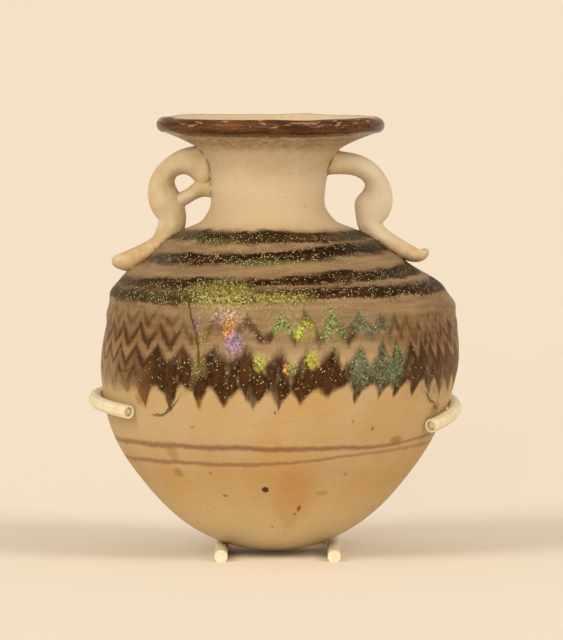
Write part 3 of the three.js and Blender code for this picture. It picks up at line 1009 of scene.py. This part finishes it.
STAINS = [
    (9, 9.5, 9, 5.0, (196, 128, 62), 0.35),
    (-41, 13.2, 2.4, 0.7, (148, 112, 24), 0.6),
    (-40, 16.4, 2.4, 1.4, (158, 118, 40), 0.45),
    (-22, 9.8, 1.1, 0.2, (112, 76, 28), 0.7),
    (13, 7.8, 1.0, 0.5, (88, 58, 22), 0.8),
    (11.5, 6.9, 0.8, 0.22, (104, 72, 30), 0.7),
    (22, 10.2, 3.0, 0.4, (164, 120, 30), 0.5),
    (-0.5, 4.8, 0.8, 0.15, (120, 84, 36), 0.7),
    (-0.5, 22.8, 0.35, 0.3, (70, 48, 22), 0.8),
    (35, 20.1, 0.5, 0.3, (96, 68, 32), 0.7),
    (26.5, 21.3, 0.5, 0.25, (128, 92, 44), 0.6),
    (-29, 20.4, 0.8, 0.2, (120, 88, 44), 0.5),
    (-25.5, 13.3, 0.9, 0.25, (128, 88, 40), 0.5),
    (30, 13.1, 0.8, 0.25, (140, 100, 50), 0.5),
    (48, 18.0, 3.0, 0.6, (132, 92, 48), 0.6),
    (66, 22.6, 3.0, 0.9, (138, 100, 36), 0.6),
    (-50, 24.5, 3.0, 1.2, (120, 84, 36), 0.5),
    (-26, 24.0, 1.2, 0.9, (150, 112, 40), 0.5),
]
for middle, high, wide, tall, tint, strength in STAINS:
    colour = glass.over(colour, seen(*tint), patch(middle, high, wide, tall, edge=0.5) * strength * 0.9)
burst = patch(-3.3, 10.85, 1.35, 0.38, edge=0.25)
colour = glass.over(colour, seen(52, 32, 12), burst * 0.9)
dust = (glass.cloud(lathe, 0.5, detail=1) - 0.5).step(0.22, 0.3)
colour = glass.over(colour, seen(140, 100, 52), dust * 0.35)

# %% [markdown]
# Handles, lip and dirt
#
# The handles are the same ivory glass, but thin enough for light to pass, so they are painted paler with
# the light that passes through them, and paler still on the right. The lip's dark thread is kept on the
# points that were turned as the lip, and a painted highlight runs along its top. Dirt lies in every joint.

# %% Handles and lip
on_coil = glass.node("Attribute", {"attribute_name": "coil"}, (), output="Fac")
at_joint = glass.node("Attribute", {"attribute_name": "joint"}, (), output="Fac")
on_lip = glass.node("Attribute", {"attribute_name": "lip"}, (), output="Fac")
# Painted light: the handles' ivory is painted paler than the body's, for light shining through the thin
# glass.
pale = glass.over(seen(222, 196, 156), seen(208, 176, 124), glass.cloud(lathe, 3.2, detail=3).step(0.35, 0.7))
amber = (1 - level.step(45, 50)) * (fine * 1.2).step(0.2, 0.8) * 0.7
# Painted light: the right handle is painted paler still, for more light shining through it.
pale = glass.over(pale, seen(228, 208, 176), across.step(6, 16) * 0.6)
pale = glass.over(pale, seen(200, 156, 94), amber)
colour = glass.over(colour, pale, on_coil.step(0.3, 0.7))
lip_edge = (on_lip + (fine - 0.5) * 0.8 + (grain - 0.5) * 0.5).step(0.35, 0.65)
lip_mottle = (streaks * 1.6 + grain * 1.0 - 0.9).step(0.1, 0.8)
lip_colour = glass.over(seen(54, 22, 2), seen(108, 60, 16), lip_mottle)
# Painted highlight: thin pale streaks along the top of the lip thread stand in for its glossy shine.
lip_painted_highlight = glass.cloud(glass.stretched(even, 0.3, 0.3, 2.6), 1, detail=3).step(0.56, 0.64)
lip_painted_highlight = lip_painted_highlight * level.step(64.4, 65.0)
lip_colour = glass.over(lip_colour, seen(216, 162, 112), lip_painted_highlight * 0.5)
colour = glass.over(colour, lip_colour, lip_edge * 0.97)
dirt = at_joint * (fine * 1.8 + grain * 1.4 - 1.1).step(0.1, 0.75)
colour = glass.over(colour, seen(112, 76, 28), dirt * 0.8)

# %% [markdown]
# The skin
#
# Old glass is neither glossy nor chalky. The ivory has a dull wax shine, the weathered patches a metal glint,
# and the cracks none. The bump has the fine pits of weathering, faint ripples along the trails, and the burst
# bubble.

# %% Skin
glint = shine * fleck_light.step(0.3, 0.9)
rough = 0.42 + (grain - 0.5) * 0.3 - glint * 0.15 - lip_edge * 0.2 + crack * 0.3
relief = (
    grain * 0.05
    + fine * 0.10
    + streaks * 0.05
    + (1 - flecks.step(0.1, 0.5)) * shine * 0.05
    - crack * 0.12
    - burst * 0.4
    - dark * 0.02
    - dust * 0.05
)
bump = glass.node("Bump", {}, {"Strength": 1.0, "Distance": 1 * MM, "Height": relief}, output="Normal")
glass.feed(glass.shader, {"Base Color": colour, "Roughness": rough, "Metallic": glint * 0.25, "Normal": bump})
coat = lip_edge * 0.18 + shine * 0.12
glass.feed(glass.shader, {"Coat Weight": coat, "Coat Roughness": 0.2, "Coat IOR": 1.35})
flask.data.materials.clear()
flask.data.materials.append(glass.material)
print(f"ivory glass: {len(glass.nodes)} nodes")

# %% [markdown]
# Rods and sleeves
#
# The cradle is a thin brass rod under cream paint, and the sleeves are soft plastic tube, which looks waxy
# and yellows. Their shapes in the frame are right, so they keep them and only get a finish.

# %% Rods and sleeves
def plain_finish(name, light, deep, lump, roughness, nodes):
    """A finish of two close tones with fine grain, for the frame's own pieces."""
    made = Finish(name)
    where = made.node("TexCoord", {}, (), output="Object")
    tone = made.cloud(where, lump, detail=3)
    grit = made.cloud(where, lump / 8, detail=2)
    worn = (tone + grit * 0.6 - 0.3).step(0.25, 0.75)
    relief = made.node("Bump", {}, {"Strength": 0.6, "Distance": 0.06 * MM, "Height": grit}, output="Normal")
    tones = made.over(seen(*light), seen(*deep), worn)
    rough = roughness + (grit - 0.5) * 0.2
    made.feed(made.shader, {"Base Color": tones, "Roughness": rough, "Normal": relief})
    for node in nodes:
        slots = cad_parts[node].data.materials
        slots.clear()
        slots.append(made.material)


sleeves = ["sleeve_left", "sleeve_right"]
plain_finish("cream_sleeving", (252, 234, 192), (242, 216, 162), 2.2 * MM, 0.42, sleeves)
plain_finish("cream_painted_rod", (248, 232, 198), (230, 204, 160), 1.6 * MM, 0.5, ["cradle"])
print("the cradle and its two sleeves have their finish")

# %% [markdown]
# Floor and light
#
# The floor is one wide pale sheet. Two large soft lamps stand to the left and right of the camera, so both
# sides of the flask get a broad dim edge, and a smaller one low in front evens out the middle. A uniform pale
# sky fills in the shadows. Where the sheet ends, the camera sees a plain wall of much the same colour.

# %% Floor
FLOOR_SIZE = 60.0


def principled(name, **values):
    """A material with these values on its shader's own sockets."""
    made = bpy.data.materials.new(name)
    made.use_nodes = True
    shader = made.node_tree.nodes["Principled BSDF"]
    for key, value in values.items():
        shader.inputs[key.replace("_", " ")].default_value = value
    return made


paper = principled("pale_paper", Base_Color=(0.84, 0.75, 0.63, 1), Roughness=0.9)
sheet = bmesh.new()
bmesh.ops.create_grid(sheet, x_segments=1, y_segments=1, size=FLOOR_SIZE)
floor = kept(sheet, "floor")
floor.data.materials.append(paper)

# %% Lights
WALL_COLOUR = (0.87, 0.72, 0.55, 1)
world = bpy.data.worlds.new("pale_sky")
bpy.context.scene.world = world
world.use_nodes = True
sky = world.node_tree.nodes["Background"]
sky.inputs["Color"].default_value = (1.0, 0.88, 0.74, 1)
sky.inputs["Strength"].default_value = 0.62
far = world.node_tree.nodes.new("ShaderNodeBackground")
far.inputs["Color"].default_value = WALL_COLOUR
seen_straight = world.node_tree.nodes.new("ShaderNodeLightPath")
either = world.node_tree.nodes.new("ShaderNodeMixShader")
for start, end in (
    (seen_straight.outputs["Is Camera Ray"], either.inputs["Fac"]),
    (sky.outputs[0], either.inputs[1]),
    (far.outputs[0], either.inputs[2]),
    (either.outputs[0], world.node_tree.nodes["World Output"].inputs["Surface"]),
):
    world.node_tree.links.new(start, end)
bpy.context.scene.view_settings.view_transform = "Standard"


def soft_light(name, azimuth, elevation, strength, spread, colour):
    """A wide soft lamp from an azimuth right of the camera and an elevation, all in degrees."""
    lamp = bpy.data.lights.new(name, "SUN")
    lamp.energy = strength
    lamp.angle = math.radians(spread)
    lamp.color = colour
    made = bpy.data.objects.new(name, lamp)
    a, e = math.radians(azimuth), math.radians(elevation)
    back = Vector((math.sin(a) * math.cos(e), -math.cos(a) * math.cos(e), math.sin(e)))
    made.location = aim + back
    made.rotation_euler = back.to_track_quat("Z", "Y").to_euler()
    bpy.context.collection.objects.link(made)


soft_light("left_lamp", -46, 34, 1.25, 28, (1, 0.97, 0.92))
soft_light("right_lamp", 52, 36, 1.15, 28, (1, 0.96, 0.9))
soft_light("front_lamp", -8, 8, 1.0, 16, (1, 0.96, 0.88))
